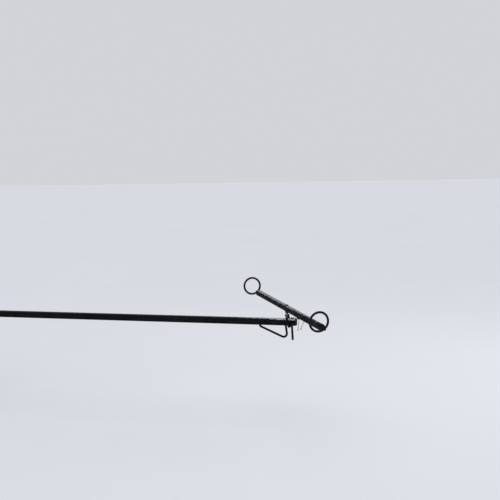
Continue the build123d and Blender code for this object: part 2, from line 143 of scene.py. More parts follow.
# ------------------------------------------------------------------ material helper
class Nodes:
    """A material with a Principled shader and short calls for the nodes round it."""

    def __init__(self, name):
        self.mat = bpy.data.materials.new(name)
        self.mat.use_nodes = True
        self.tree = self.mat.node_tree
        self.tree.nodes.clear()
        self.out = self.add("ShaderNodeOutputMaterial")
        self.bsdf = self.add("ShaderNodeBsdfPrincipled")
        self.tree.links.new(self.bsdf.outputs[0], self.out.inputs[0])
        self.coord = self.add("ShaderNodeTexCoord")
        self.obj = self.coord.outputs["Object"]
        self.nrm = self.coord.outputs["Normal"]

    def add(self, kind, **props):
        n = self.tree.nodes.new(kind)
        for k, v in props.items():
            setattr(n, k, v)
        return n

    def put(self, socket, value):
        if isinstance(value, bpy.types.NodeSocket):
            self.tree.links.new(value, socket)
        else:
            socket.default_value = value

    def math(self, op, a, b=0.5, c=0.5, clamp=False):
        n = self.add("ShaderNodeMath", operation=op, use_clamp=clamp)
        for i, v in enumerate((a, b, c)):
            self.put(n.inputs[i], v)
        return n.outputs[0]

    def mul(self, a, b):
        return self.math("MULTIPLY", a, b)

    def plus(self, a, b):
        return self.math("ADD", a, b, clamp=True)

    def step(self, value, low, high, to_low=0.0, to_high=1.0):
        n = self.add("ShaderNodeMapRange", interpolation_type="SMOOTHSTEP")
        self.put(n.inputs["Value"], value)
        n.inputs["From Min"].default_value = low
        n.inputs["From Max"].default_value = high
        n.inputs["To Min"].default_value = to_low
        n.inputs["To Max"].default_value = to_high
        return n.outputs[0]

    def stretch(self, scale, turn=(0, 0, 0), vec=None):
        n = self.add("ShaderNodeMapping")
        self.put(n.inputs["Vector"], vec or self.obj)
        n.inputs["Scale"].default_value = scale
        n.inputs["Rotation"].default_value = turn
        return n.outputs[0]

    def noise(self, scale, detail=4.0, rough=0.55, vec=None, distort=0.0):
        n = self.add("ShaderNodeTexNoise")
        self.put(n.inputs["Vector"], vec or self.obj)
        n.inputs["Scale"].default_value = scale
        n.inputs["Detail"].default_value = detail
        n.inputs["Roughness"].default_value = rough
        n.inputs["Distortion"].default_value = distort
        return n.outputs["Fac"]

    def voronoi(self, scale, vec=None, feature="F1", randomness=1.0):
        n = self.add("ShaderNodeTexVoronoi", feature=feature)
        self.put(n.inputs["Vector"], vec or self.obj)
        n.inputs["Scale"].default_value = scale
        n.inputs["Randomness"].default_value = randomness
        return n.outputs["Distance"]

    def mix(self, factor, a, b):
        n = self.add("ShaderNodeMix", data_type="RGBA")
        self.put(n.inputs[0], factor)
        for socket, v in ((n.inputs[6], a), (n.inputs[7], b)):
            self.put(socket, (*v, 1.0) if isinstance(v, tuple) else v)
        return n.outputs[2]

    def blend(self, factor, a, b):
        n = self.add("ShaderNodeMix", data_type="FLOAT")
        self.put(n.inputs[0], factor)
        self.put(n.inputs[2], a)
        self.put(n.inputs[3], b)
        return n.outputs[0]

    def xyz(self, vec):
        n = self.add("ShaderNodeSeparateXYZ")
        self.put(n.inputs[0], vec)
        return n.outputs

    def edge(self, radius=0.0016, low=0.03, high=0.16):
        """1 where the surface turns sharply within the radius, 0 on open faces."""
        b = self.add("ShaderNodeBevel", samples=6)
        b.inputs["Radius"].default_value = radius
        g = self.add("ShaderNodeNewGeometry")
        d = self.add("ShaderNodeVectorMath", operation="DOT_PRODUCT")
        self.put(d.inputs[0], b.outputs[0])
        self.put(d.inputs[1], g.outputs["Normal"])
        return self.step(self.math("SUBTRACT", 1.0, d.outputs["Value"]), low, high)

    def bump(self, *layers):
        """layers: (height socket, distance in metres, strength)"""
        last = None
        for height, distance, strength in layers:
            n = self.add("ShaderNodeBump")
            n.inputs["Strength"].default_value = strength
            n.inputs["Distance"].default_value = distance
            self.put(n.inputs["Height"], height)
            if last is not None:
                self.put(n.inputs["Normal"], last)
            last = n.outputs[0]
        self.put(self.bsdf.inputs["Normal"], last)

    def done(self, colour, rough, metallic=0.0, **sockets):
        self.put(self.bsdf.inputs["Base Color"], colour)
        self.put(self.bsdf.inputs["Roughness"], rough)
        self.put(self.bsdf.inputs["Metallic"], metallic)
        for k, v in sockets.items():
            self.bsdf.inputs[k.replace("_", " ")].default_value = v
        return self.mat


def frost_mask(m, low, high, cover=0.5, gate=None):
    """Frost on what faces up: patches of several sizes, grainy at their edges."""
    up_z = m.xyz(m.nrm)[2]
    facing = m.step(up_z, low, high)
    broad = m.noise(34.0, 3.0, 0.5)
    fine = m.noise(260.0, 6.0, 0.68)
    grain = m.noise(1300.0, 3.0, 0.6)
    amount = m.math("ADD", m.mul(broad, 0.45), m.mul(fine, 0.55))
    amount = m.math("ADD", amount, m.mul(m.math("SUBTRACT", grain, 0.5), 0.42))
    amount = m.math("ADD", amount, m.mul(m.math("SUBTRACT", facing, 1.0), 0.55))
    if gate is not None:
        amount = m.math("ADD", amount, m.mul(m.math("SUBTRACT", gate, 1.0), 0.45))
    edge = 0.5 + (0.5 - cover) * 0.35
    return m.step(amount, edge - 0.03, edge + 0.10), grain


def painted(name, base=(0.0024, 0.0026, 0.0031), frost=None, wear=0.5, dust=0.35, gloss=0.42, shine=0.10,
            white=((0.060, 0.063, 0.068), (0.33, 0.345, 0.37)), grime=(0.022, 0.021, 0.020), patches=70.0,
            heading=0.0, turns=(0.012, 0.10)):
    """Black paint on steel, dulled, chipped to dark steel and rust at edges, with frost on top.
    heading is the piece's direction in plan, in degrees from +X, for scuffs that run along it.
    turns says how sharp an edge has to be to lose its paint, which a round bar's own curve must not."""
    m = Nodes(name)
    cloud = m.noise(9.0, 5.0, 0.6)
    mottle = m.noise(patches, 6.0, 0.65)
    fine = m.noise(600.0, 3.0, 0.6)
    colour = m.mix(m.step(cloud, 0.35, 0.72), base, tuple(c * 2.0 + 0.0008 for c in base))
    dusty = m.mul(m.step(mottle, 0.47, 0.66), dust)
    colour = m.mix(dusty, colour, grime)
    # long scuffs, where a chain or strap has rubbed
    lay = m.add("ShaderNodeMapping", vector_type="TEXTURE")
    m.put(lay.inputs["Vector"], m.obj)
    lay.inputs["Rotation"].default_value = (0.0, 0.0, math.radians(heading))
    lay.inputs["Scale"].default_value = (6.0, 1.0, 1.0)
    scuff = m.step(m.noise(44.0, 5.0, 0.7, vec=lay.outputs[0]), 0.61, 0.69)
    colour = m.mix(m.mul(scuff, 0.35 * wear), colour, (0.060, 0.058, 0.056))
    worn = m.mul(m.edge(0.0024, *turns), m.step(m.noise(120.0, 5.0, 0.7), 0.40, 0.56))
    chips = m.step(m.noise(46.0, 7.0, 0.74), 0.655, 0.675)
    bare = m.mul(m.plus(worn, m.mul(chips, 0.85)), wear)
    metal = m.mix(m.step(m.noise(200.0, 4.0, 0.6), 0.40, 0.60), (0.085, 0.082, 0.079), (0.105, 0.040, 0.016))
    colour = m.mix(bare, colour, metal)
    rough = m.blend(m.step(mottle, 0.3, 0.7), gloss, gloss + 0.22)
    rough = m.blend(bare, rough, 0.62)
    layers = [(fine, 0.00012, 0.35), (mottle, 0.0006, 0.25), (m.math("SUBTRACT", 1.0, bare), 0.0002, 0.5)]
    if frost:
        mask, grain = frost_mask(m, *frost(m))
        tone = m.mix(m.step(m.noise(210.0, 5.0, 0.68), 0.34, 0.62), white[0], white[1])
        colour = m.mix(mask, colour, tone)
        rough = m.blend(mask, rough, 0.88)
        layers += [(m.mul(mask, m.blend(grain, 0.5, 1.0)), 0.0009, 0.8)]
    m.bump(*layers)
    return m.done(colour, rough, Specular_IOR_Level=shine)


def bare_metal(name, base=(0.30, 0.30, 0.30), rust=0.35, rough=0.42, metallic=0.9, dirt=0.5):
    """Plated or bright steel, dulled, with dirt in patches and spots of rust."""
    m = Nodes(name)
    mottle = m.noise(90.0, 6.0, 0.65)
    fine = m.noise(900.0, 3.0, 0.6)
    spots = m.mul(m.step(m.noise(150.0, 6.0, 0.72), 0.53, 0.66), rust)
    colour = m.mix(m.step(mottle, 0.3, 0.7), base, tuple(c * 0.55 for c in base))
    muck = m.mul(m.step(m.noise(60.0, 5.0, 0.7), 0.46, 0.62), dirt)
    colour = m.mix(muck, colour, (0.035, 0.031, 0.027))
    colour = m.mix(spots, colour, (0.15, 0.055, 0.022))
    m.bump((fine, 0.0001, 0.3), (mottle, 0.0004, 0.25))
    dull = m.plus(spots, muck)
    return m.done(colour, m.blend(dull, m.blend(mottle, rough - 0.08, rough + 0.16), 0.85),
                  m.blend(dull, metallic, 0.1))


def wood(name, along, dark=(0.120, 0.064, 0.031), light=(0.285, 0.180, 0.098)):
    """Oiled ash: long grain along one axis, end grain across it, pores, checks and ground-in dirt."""
    m = Nodes(name)

    def run(long, cross):
        return m.stretch([long if i == along else cross for i in range(3)])

    # growth rings as thin sheets, cut through by the surface
    sheets = m.noise(6.0, 2.0, 0.45, vec=run(0.22, 9.0), distort=0.15)
    bands = m.math("ABSOLUTE", m.math("SUBTRACT", m.math("FRACT", m.mul(sheets, 9.0)), 0.5))
    fibre = m.noise(30.0, 5.0, 0.62, vec=run(0.35, 16.0))
    pores = m.noise(34.0, 3.0, 0.75, vec=run(1.6, 42.0))
    cracks = m.step(m.noise(7.0, 3.0, 0.6, vec=run(0.4, 24.0)), 0.675, 0.70)
    tone = m.noise(2.6, 5.0, 0.6)
    grime = m.step(m.noise(7.0, 6.0, 0.65), 0.46, 0.72)
    colour = m.mix(m.step(m.math("ADD", m.mul(bands, 1.1), m.mul(fibre, 0.5)), 0.22, 0.72), dark, light)
    colour = m.mix(m.mul(m.step(pores, 0.55, 0.66), 0.6), colour, (0.050, 0.028, 0.015))
    colour = m.mix(m.mul(m.step(fibre, 0.5, 0.75), 0.25), colour, (0.34, 0.235, 0.145))
    colour = m.mix(m.mul(m.step(tone, 0.4, 0.68), 0.42), colour, (0.165, 0.140, 0.118))
    colour = m.mix(m.mul(grime, 0.6), colour, (0.052, 0.037, 0.027))
    edge = m.mul(m.edge(0.003, 0.02, 0.2), m.step(m.noise(60.0, 4.0), 0.4, 0.6))
    colour = m.mix(m.mul(edge, 0.5), colour, (0.36, 0.27, 0.175))
    end = m.step(m.math("ABSOLUTE", m.xyz(m.nrm)[along]), 0.75, 0.9)
    growth = m.voronoi(30.0, vec=m.stretch([0.02 if i == along else 1.0 for i in range(3)]))
    growth = m.math("ABSOLUTE", m.math("SUBTRACT", m.math("FRACT", m.mul(growth, 9.0)), 0.5))
    colour = m.mix(m.mul(end, 0.85), colour, m.mix(growth, (0.050, 0.030, 0.017), (0.13, 0.082, 0.046)))
    colour = m.mix(cracks, colour, (0.02, 0.012, 0.008))
    m.bump((pores, 0.0004, 0.5), (fibre, 0.0004, 0.4), (m.math("SUBTRACT", 1.0, cracks), 0.0009, 0.8))
    return m.done(colour, m.blend(grime, 0.46, 0.72), Specular_IOR_Level=0.35)


def lace_leather(name):
    m = Nodes(name)
    fibre = m.noise(900.0, 4.0, 0.6)
    stain = m.noise(140.0, 4.0, 0.6)
    colour = m.mix(m.step(stain, 0.35, 0.65), (0.012, 0.010, 0.008), (0.030, 0.026, 0.023))
    colour = m.mix(m.mul(m.step(fibre, 0.5, 0.7), 0.4), colour, (0.062, 0.056, 0.051))
    m.bump((fibre, 0.0002, 0.5), (stain, 0.0003, 0.4))
    return m.done(colour, m.blend(fibre, 0.6, 0.8), Specular_IOR_Level=0.2)


def rime(name, low=(0.055, 0.058, 0.063), high=(0.40, 0.415, 0.44), front=None):
    """Frost crust: coarse crystals, dirty between them. Past the front's two X values the crystals turn lighter,
    which is painted light against the shade of the drop pin's handle.
    """
    m = Nodes(name)
    crystals = m.noise(650.0, 6.0, 0.75)
    patch = m.noise(95.0, 5.0, 0.65)
    grain = m.step(m.math("ADD", m.mul(crystals, 0.6), m.mul(patch, 0.4)), 0.41, 0.60)
    colour = m.mix(grain, low, high)
    if front:
        # painted light: lighter crust tones from the front's X values on, standing in for light where the handle's
        # shade falls
        painted_light_tone = m.mix(grain, (0.24, 0.25, 0.265), (0.70, 0.72, 0.75))
        colour = m.mix(m.step(m.xyz(m.obj)[0], *front), colour, painted_light_tone)
    m.bump((crystals, 0.0008, 0.9), (patch, 0.0012, 0.6))
    return m.done(colour, m.blend(crystals, 0.75, 0.95), Specular_IOR_Level=0.2)


def pole_frost(m):
    x = m.xyz(m.obj)[0]
    return 0.30, 0.95, 0.50, m.step(x, 2.45, 2.95)


def yoke_frost(m):
    y = m.xyz(m.obj)[1]
    return 0.20, 0.84, 0.62, m.step(y, -0.56, 0.15, 0.22, 1.0)


def rod_frost(m):
    z = m.xyz(m.obj)[2]
    return 0.0, 0.8, 0.55, m.step(z, -0.004, 0.016)


mats = {
    "pole_paint": painted("pole_black_paint", frost=pole_frost, wear=0.6, dust=0.35, shine=0.06),
    "yoke_paint": painted("yoke_black_paint", frost=yoke_frost, wear=0.5, dust=0.8, gloss=0.58,
                          shine=0.03, grime=(0.034, 0.033, 0.032), patches=36.0, heading=-57.3, turns=(0.10, 0.30)),
    "strap_steel": painted("strap_black_paint", base=(0.007, 0.0068, 0.0066), wear=0.95, dust=0.5, gloss=0.5,
                           shine=0.25, grime=(0.030, 0.028, 0.026)),
    "bolt_steel": bare_metal("dull_zinc", base=(0.24, 0.24, 0.235), rust=0.5, dirt=0.7),
    "rod_iron": painted("rod_black_paint", wear=0.5, dust=0.2, gloss=0.4, frost=rod_frost, turns=(0.14, 0.35)),
    "ring_iron": painted("ring_black", base=(0.0026, 0.0030, 0.0044), wear=0.3, dust=0.25, gloss=0.36, shine=0.14,
                         grime=(0.020, 0.021, 0.024), turns=(0.14, 0.35)),
    "forged_hook": bare_metal("forged_dark", base=(0.06, 0.056, 0.053), rust=0.8, rough=0.55, metallic=0.6),
    "hardwood": wood("oiled_ash", 1),
    "thong_leather": lace_leather("dark_lace"),
}
rime_mat = rime("rime_crust")
# painted light: a whiter copy of the rime crust for the drop pin's handle, lit up against the shade on its sides
rime_painted_bright = rime("rime_crust_painted_bright", (0.46, 0.475, 0.50), (0.86, 0.88, 0.91))
# painted light on the pole's crust from X 2.98 to 3.17, next to the drop pin's handle
rime_pole = rime("rime_crust_pole", front=(2.98, 3.17))

slot_of = {s["node"]: s["material_slot"] for s in record["subparts"]}
for name, obj in nodes.items():
    obj.data.materials.clear()
    obj.data.materials.append(mats[slot_of[name]])
for obj in tails.values():
    obj.data.materials.append(mats["thong_leather"])


# ------------------------------------------------------------------ mesh helpers
class Shape:
    """Collects verts and faces of several closed forms that make up one piece."""

    def __init__(self):
        self.v, self.f = [], []

    def add(self, verts, faces):
        base = len(self.v)
        self.v += [tuple(p) for p in verts]
        self.f += [tuple(base + i for i in face) for face in faces]
        return self

    def grid(self, rows, closed_rows=False, cap=True):
        """Rows of points, each row a closed loop; caps at both ends unless the rows close."""
        base = len(self.v)
        n, m = len(rows), len(rows[0])
        for row in rows:
            self.v += [tuple(p) for p in row]
        for i in range(n if closed_rows else n - 1):
            j = (i + 1) % n
            for k in range(m):
                q = (k + 1) % m
                self.f.append((base + i * m + k, base + i * m + q, base + j * m + q, base + j * m + k))
        if cap and not closed_rows:
            self.f.append(tuple(base + k for k in reversed(range(m))))
            self.f.append(tuple(base + (n - 1) * m + k for k in range(m)))
        return self

    def lathe(self, origin, axis, profile, sides=32, shape=None):
        """profile: (radius, distance along the axis). shape(angle, r, t) may change the radius."""
        o, a = Vector(origin), Vector(axis).normalized()
        e = a.orthogonal().normalized()
        g = a.cross(e)
        rows = []
        for r, t in profile:
            row = []
            for k in range(sides):
                ang = 2 * math.pi * k / sides
                rr = shape(ang, r, t) if shape else r
                row.append(o + a * t + (e * math.cos(ang) + g * math.sin(ang)) * rr)
            rows.append(row)
        return self.grid(rows)

    def tube(self, points, radius, sides=10, closed=False):
        pts = [Vector(p) for p in points]
        n = len(pts)
        rows, ref = [], None
        for i, p in enumerate(pts):
            a = pts[(i - 1) % n] if closed or i else p
            b = pts[(i + 1) % n] if closed or i < n - 1 else p
            t = (b - a).normalized()
            if ref is None:
                ref = t.orthogonal().normalized()
            ref = (ref - t * ref.dot(t)).normalized()
            side = t.cross(ref)
            r = radius[i] if hasattr(radius, "__len__") else radius
            rows.append([p + (ref * math.cos(2 * math.pi * k / sides) + side * math.sin(2 * math.pi * k / sides)) * r
                         for k in range(sides)])
        return self.grid(rows, closed_rows=closed)

    def hexagon(self, origin, axis, apothem, t0, t1, bevel_low=False, bevel_high=True, turn=0.0, sides=60):
        """Hexagon head or nut whose corners are turned off at one or both ends."""
        height = t1 - t0
        steps = [0.0, 0.04, 0.09, 0.15, 0.22, 0.3]
        ts = [height * s for s in steps] + [height * (1 - s) for s in reversed(steps)]
        profile = [(apothem, t0 + t) for t in ts]

        def limit(ang, r, t):
            a = (ang + turn + math.pi / 6) % (math.pi / 3) - math.pi / 6
            out = apothem / math.cos(a)
            if bevel_high:
                out = min(out, apothem * 0.955 + (t1 - t) * 1.75)
            if bevel_low:
                out = min(out, apothem * 0.955 + (t - t0) * 1.75)
            return out

        return self.lathe(origin, axis, profile, sides, limit)

    def thread(self, origin, axis, r, t0, t1, pitch, sides=28):
        """Shank with a helical thread, ends tapered."""
        n = max(4, int(round((t1 - t0) / pitch * 6)))
        depth = pitch * 0.36
        profile = [(r, t0 + (t1 - t0) * i / n) for i in range(n + 1)]

        def ridge(ang, rr, t):
            u = (t / pitch + ang / (2 * math.pi)) % 1.0
            d = depth * abs(2 * u - 1)
            end = min(1.0, min(t - t0, t1 - t) / pitch + 0.15)
            return rr - depth + (depth - d) * end - (1 - end) * depth * 0.4

        return self.lathe(origin, axis, profile, sides, ridge)

    def dome(self, origin, axis, r, h, base=0.0015, sides=20):
        """Rivet head: a low dome with a small lip, its foot sunk in the plate."""
        profile = [(r * 0.98, -base), (r, 0.0), (r, h * 0.16)]
        for i in range(1, 7):
            a = math.pi / 2 * i / 6
            profile.append((max(r * math.cos(a), r * 0.02), h * 0.16 + h * 0.84 * math.sin(a)))
        return self.lathe(origin, axis, profile, sides)

    def bead(self, points, r, closed=True, seed=0.0, lift=None, ripple=0.0031, spacing=0.0009):
        """Weld bead: overlapping ripples along a path."""
        pts = [Vector(p) for p in points]
        if closed:
            pts.append(pts[0])
        path = []
        for a, b in zip(pts, pts[1:]):
            steps = max(1, round((b - a).length / spacing))
            path += [a.lerp(b, i / steps) for i in range(steps)]
        if not closed:
            path.append(pts[-1])
        radii, s = [], 0.0
        for i, p in enumerate(path):
            if i:
                s += (p - path[i - 1]).length
            u = (s / ripple + noise.noise(p * 60.0 + Vector((seed, 3, 1))) * 0.5) % 1.0
            radii.append(r * (0.86 + 0.24 * u * (2 - u) + noise.noise(p * 110.0 + Vector((seed, 0, 0))) * 0.16))
            if not closed:
                end = min(i, len(path) - 1 - i) * spacing / 0.003
                radii[-1] *= 0.45 + 0.55 * min(1.0, end)
        return self.tube(path, radii, 8, closed)

    def piece(self, name, body, slot, material=None, smooth=True, sharp=None, replaces=()):
        mesh = bpy.data.meshes.new(name)
        mesh.from_pydata(self.v, [], self.f)
        mesh.validate()
        mesh.update()
        if smooth:
            mesh.polygons.foreach_set("use_smooth", [True] * len(mesh.polygons))
        if sharp:
            mesh.set_sharp_from_angle(angle=math.radians(sharp))
        mesh.materials.append(material or mats[slot])
        obj = bpy.data.objects.new(name, mesh)
        scene.collection.objects.link(obj)
        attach(obj, body)
        if replaces:
            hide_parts(*replaces)
        return obj


def arc(cx, cy, r, a0, a1, n):
    return [(cx + r * math.cos(math.radians(a0 + (a1 - a0) * i / n)),
             cy + r * math.sin(math.radians(a0 + (a1 - a0) * i / n))) for i in range(n + 1)]


def round_rect(w, h, r, n=6):
    """Outline of a rounded rectangle, half sizes w and h."""
    pts = []
    for cx, cy, a in ((w - r, h - r, 0), (-w + r, h - r, 90), (-w + r, -h + r, 180), (w - r, -h + r, 270)):
        pts += arc(cx, cy, r, a, a + 90, n)
    return pts


# ------------------------------------------------------------------ sizes shared with the CAD, metres
HALF, SLEEVE_HALF = 0.01905, 0.0254
POLE_TIP, CAP_T = 3.205, 0.003
SLEEVE_LEN = 0.640
HITCH_R = 0.0211
EV_X, ST_Y, ST_Z = 0.450, 0.600, 0.1201
EV_Z0, EV_Z1 = 0.0337, 0.0877
STRAP_TOP = 0.0980
YOKE_MID = Vector((3.150, 0.0, 0.080))
skew, drop = math.radians(32.7), math.radians(1.75)
ALONG = Vector((math.cos(drop) * math.sin(skew), -math.cos(drop) * math.cos(skew), -math.sin(drop)))
YOKE_R = 0.01905
CAP_FACE, CAP_SEAM, EYE_AT = 0.581, 0.569, 0.6135
RING_HINGE = Vector((0.6771, 0.4126, 0.6094))
HINGE = (RING_HINGE - ALONG * RING_HINGE.dot(ALONG)).normalized()
LEAN = math.radians(85.4)
RING_R, RING_ROD = 0.0516, 0.00635
lie_near = ALONG * math.cos(LEAN) + ALONG.cross(HINGE) * math.sin(LEAN)
lie_far = lie_near - ALONG * (2 * lie_near.dot(ALONG))
SIDES = (("near", -1), ("far", 1))

# ------------------------------------------------------------------ pole welds
welds = Shape()
# front cap seam
welds.bead([(POLE_TIP - CAP_T + 0.0001, y, z) for y, z in round_rect(HALF + 0.0001, HALF + 0.0001, 0.004)],
           0.00095, seed=1)
# front of the sleeve, against the tube
welds.bead([(SLEEVE_LEN + 0.0008, y, z) for y, z in round_rect(HALF + 0.0016, HALF + 0.0016, 0.0052)],
           0.0030, seed=2, ripple=0.0042)
# sleeve to hitch tube: down one flank, under, up the other, across the top
flank = [(HITCH_R * math.cos(math.radians(a)), HITCH_R * math.sin(math.radians(a))) for a in range(84, -85, -8)]
loop = [(x + 0.0006, -SLEEVE_HALF - 0.0002, z) for x, z in flank]
loop += [(x + 0.0006, SLEEVE_HALF + 0.0002, z) for x, z in reversed(flank)]
welds.bead([(x, y, z) for x, y, z in loop], 0.0031, seed=3, ripple=0.0042)
for side, s in SIDES:
    # brace toe on the sleeve
    welds.bead([(0.385 + u, s * (SLEEVE_HALF + 0.0008), z) for u, z in round_rect(0.0516, 0.0131, 0.003)],
               0.0026, seed=4 + s, ripple=0.004)
    # brace heel on the hitch tube
    rear, front = Vector((0.0, s * 0.124, 0.0)), Vector((0.385, s * SLEEVE_HALF, 0.0))
    run = (front - rear).normalized()
    lat = Vector((-run.y, run.x, 0.0))
    heel = []
    for a, b in round_rect(0.0130, 0.0130, 0.0028):
        xc = math.sqrt(HITCH_R ** 2 - b * b)
        heel.append(rear + lat * a + Vector((0, 0, b)) + run * ((xc - lat.x * a) / run.x))
    welds.bead(heel, 0.0027, seed=8 + s, ripple=0.004)
    # stitches holding the wear plate on the sleeve's shoulders
    for x0 in (0.406, 0.438, 0.470):
        welds.bead([(x0, s * (SLEEVE_HALF + 0.0006), SLEEVE_HALF - 0.0012),
                    (x0 + 0.022, s * (SLEEVE_HALF + 0.0006), SLEEVE_HALF - 0.0012)], 0.0023, closed=False,
                   seed=x0 * 90 + s)
# stop rod's two roots on the pole's underside
for x in (2.9836, 3.1397):
    welds.bead([(x + 0.0071 * math.cos(t * math.pi / 16), 0.0070 * math.sin(t * math.pi / 16), -HALF - 0.0003)
                for t in range(32)], 0.0017, seed=x * 10)
# plug welds through the sleeve's top
for x in (0.10, 0.19, 0.545, 0.60):
    welds.dome((x, 0.0, SLEEVE_HALF), (0, 0, 1), 0.0075, 0.0010)
    welds.dome((x, 0.0, -SLEEVE_HALF), (0, 0, -1), 0.0075, 0.0010)
welds.piece("pole_welds", "pole", "pole_paint")

# ------------------------------------------------------------------ bolts, nuts and pins
bolts = Shape()
for i, x in enumerate((0.308, 0.346)):
    o, z = (x, 0.0, 0.0), (0, 0, 1)
    bolts.hexagon(o, z, 0.00935, 0.0371, 0.0434, turn=0.3 + i)
    bolts.lathe(o, z, [(0.0060, 0.0350), (0.0106, 0.0354), (0.0107, 0.0368), (0.0100, 0.0371), (0.0060, 0.0371)])
    bolts.lathe(o, z, [(0.0063, -0.0262), (0.0063, 0.0372)], 24)
    bolts.hexagon(o, z, 0.00935, -0.0354, -0.0270, bevel_low=True, bevel_high=True, turn=0.8 + i)
    bolts.lathe(o, z, [(0.0060, -0.0272), (0.0104, -0.0271), (0.0106, -0.0257), (0.0104, -0.0254),
                       (0.0060, -0.0254)])
    bolts.thread(o, z, 0.00635, -0.0404, -0.0262, 0.00175)
bolts.piece("strap_bolts_detail", "pole", "bolt_steel", sharp=28, replaces=("strap_bolts",))

pin = Shape()
o, z = (EV_X, 0.0, 0.0), (0, 0, 1)
pin.hexagon(o, z, 0.01435, 0.1000, 0.1100, turn=0.35)
pin.lathe(o, z, [(0.0092, 0.0978), (0.0158, 0.0981), (0.0160, 0.0997), (0.0152, 0.1001), (0.0092, 0.1001)])
pin.lathe(o, z, [(0.0094, -0.0420), (0.0094, 0.1002)], 32)
pin.hexagon(o, z, 0.01435, -0.0414, -0.0275, bevel_low=True, bevel_high=True, turn=0.1)
pin.lathe(o, z, [(0.0092, -0.0277), (0.0155, -0.0276), (0.0157, -0.0258), (0.0155, -0.0254), (0.0092, -0.0254)])
pin.thread(o, z, 0.0094, -0.0590, -0.0410, 0.0021, 36)
pin.piece("evener_pin_detail", "pole", "bolt_steel", sharp=28, replaces=("evener_pin",))

# split pin below the evener pin's nut: eye, two legs, ends spread
cotter = Shape()
zc = -0.0505
eye = [(EV_X, -0.0135 - 0.0034 * math.cos(t), zc + 0.0034 * math.sin(t)) for t in
       [math.radians(a) for a in range(-125, 126, 25)]]
for sgn in (-1, 1):
    leg = [Vector((EV_X, -0.0115, zc + sgn * 0.0011)), Vector((EV_X, 0.0105, zc + sgn * 0.0011)),
           Vector((EV_X + sgn * 0.0006, 0.0125, zc + sgn * 0.0026)),
           Vector((EV_X + sgn * 0.0012, 0.0134, zc + sgn * 0.0066)),
           Vector((EV_X + sgn * 0.0014, 0.0128, zc + sgn * 0.0078))]
    cotter.tube(leg, 0.0010, 8)
cotter.tube(eye, 0.0010, 8)
cotter.piece("evener_pin_split_pin", "pole", "bolt_steel")

for side, s in SIDES:
    st = Shape()
    o = (EV_X, s * ST_Y, 0.0)
    st.hexagon(o, z, 0.01167, 0.0267, 0.0335, bevel_low=True, bevel_high=False, turn=0.2 + s)
    st.lathe(o, z, [(0.0078, 0.0317), (0.0078, 0.1515)], 28)
    st.lathe(o, z, [(0.0080, 0.0878), (0.0166, 0.0878), (0.0170, 0.0882), (0.0170, 0.0912), (0.0166, 0.0916),
                    (0.0080, 0.0916)])
    st.lathe(o, z, [(0.0080, 0.1486), (0.0146, 0.1486), (0.0150, 0.1490), (0.0150, 0.1506), (0.0146, 0.1510),
                    (0.0080, 0.1510)])
    st.hexagon(o, z, 0.01167, 0.1511, 0.1628, bevel_low=True, bevel_high=True, turn=0.5 - s)
    st.thread(o, z, 0.0078, 0.1512, 0.1682, 0.0020, 32)
    st.piece("singletree_pin_detail_" + side, "evener", "bolt_steel", sharp=28,
             replaces=("singletree_pin_" + side,))

# ------------------------------------------------------------------ rivets on the evener's plates
rivets = Shape()
for x in (-0.024, 0.024):
    for y in (-0.078, 0.078):
        rivets.dome((EV_X + x, y, EV_Z1), (0, 0, 1), 0.0065, 0.0030)
        rivets.dome((EV_X + x, y, EV_Z0), (0, 0, -1), 0.0065, 0.0030)
for side, s in SIDES:
    for x, y in ((-0.012, 0.530), (0.012, 0.530), (0.0, 0.562)):
        rivets.dome((EV_X + x, s * y, EV_Z1), (0, 0, 1), 0.0058, 0.0022)
        rivets.dome((EV_X + x, s * y, EV_Z0), (0, 0, -1), 0.0058, 0.0028)
rivets.piece("evener_rivets", "evener", "strap_steel")

# ------------------------------------------------------------------ turned singletrees and their ferrules
for side, s in SIDES:
    tree = Shape()
    profile = []
    n = 120
    half = 0.377
    for i in range(n + 1):
        u = -1 + 2 * i / n
        t = u * half
        a = abs(t)
        if a > 0.337:
            r = 0.0169
        else:
            k = a / 0.337
            r = 0.0250 - 0.0080 * (k ** 2.1) if k < 1 else 0.0169
            r = min(r, 0.0250)
        if a < 0.034:
            r = 0.0248
        if a > half - 0.0022:
            r -= (a - half + 0.0022) * 0.9
        profile.append((r, t))
    profile = [(0.002, profile[0][1])] + profile + [(0.002, profile[-1][1])]

    def turned(ang, r, t, s=s):
        q = Vector((math.cos(ang) * 0.02, math.sin(ang) * 0.02, t + 3.0 * s))
        if abs(t) > 0.335:
            return r
        return r - 0.00045 + noise.noise(Vector((q.x * 60, q.y * 60, q.z * 9))) * 0.00035 \
            + noise.noise(q * 30) * 0.0003

    tree.lathe((EV_X, s * ST_Y, ST_Z), (0, 1, 0), profile, 48, turned)
    tree.piece("singletree_turned_" + side, "singletree_" + side, "hardwood", sharp=40,
               replaces=("singletree_" + side,))

    studs = Shape()
    for e in (-1, 1):
        y = s * ST_Y + e * 0.355
        for ang in (90, -90, 0, 180):
            a = math.radians(ang)
            d = Vector((math.cos(a), 0, math.sin(a)))
            studs.dome(Vector((EV_X, y, ST_Z)) + d * 0.0193, d, 0.0032, 0.0016, base=0.0008, sides=14)
        # weld where the hook's shank leaves the ferrule's end
        c = Vector((EV_X, s * ST_Y + e * 0.3813, ST_Z))
        studs.bead([c + Vector((math.cos(t * math.pi / 12) * 0.0066, 0, math.sin(t * math.pi / 12) * 0.0066))
                    for t in range(24)], 0.0017, seed=e + s)
    studs.piece("ferrule_studs_" + side, "singletree_" + side, "forged_hook")

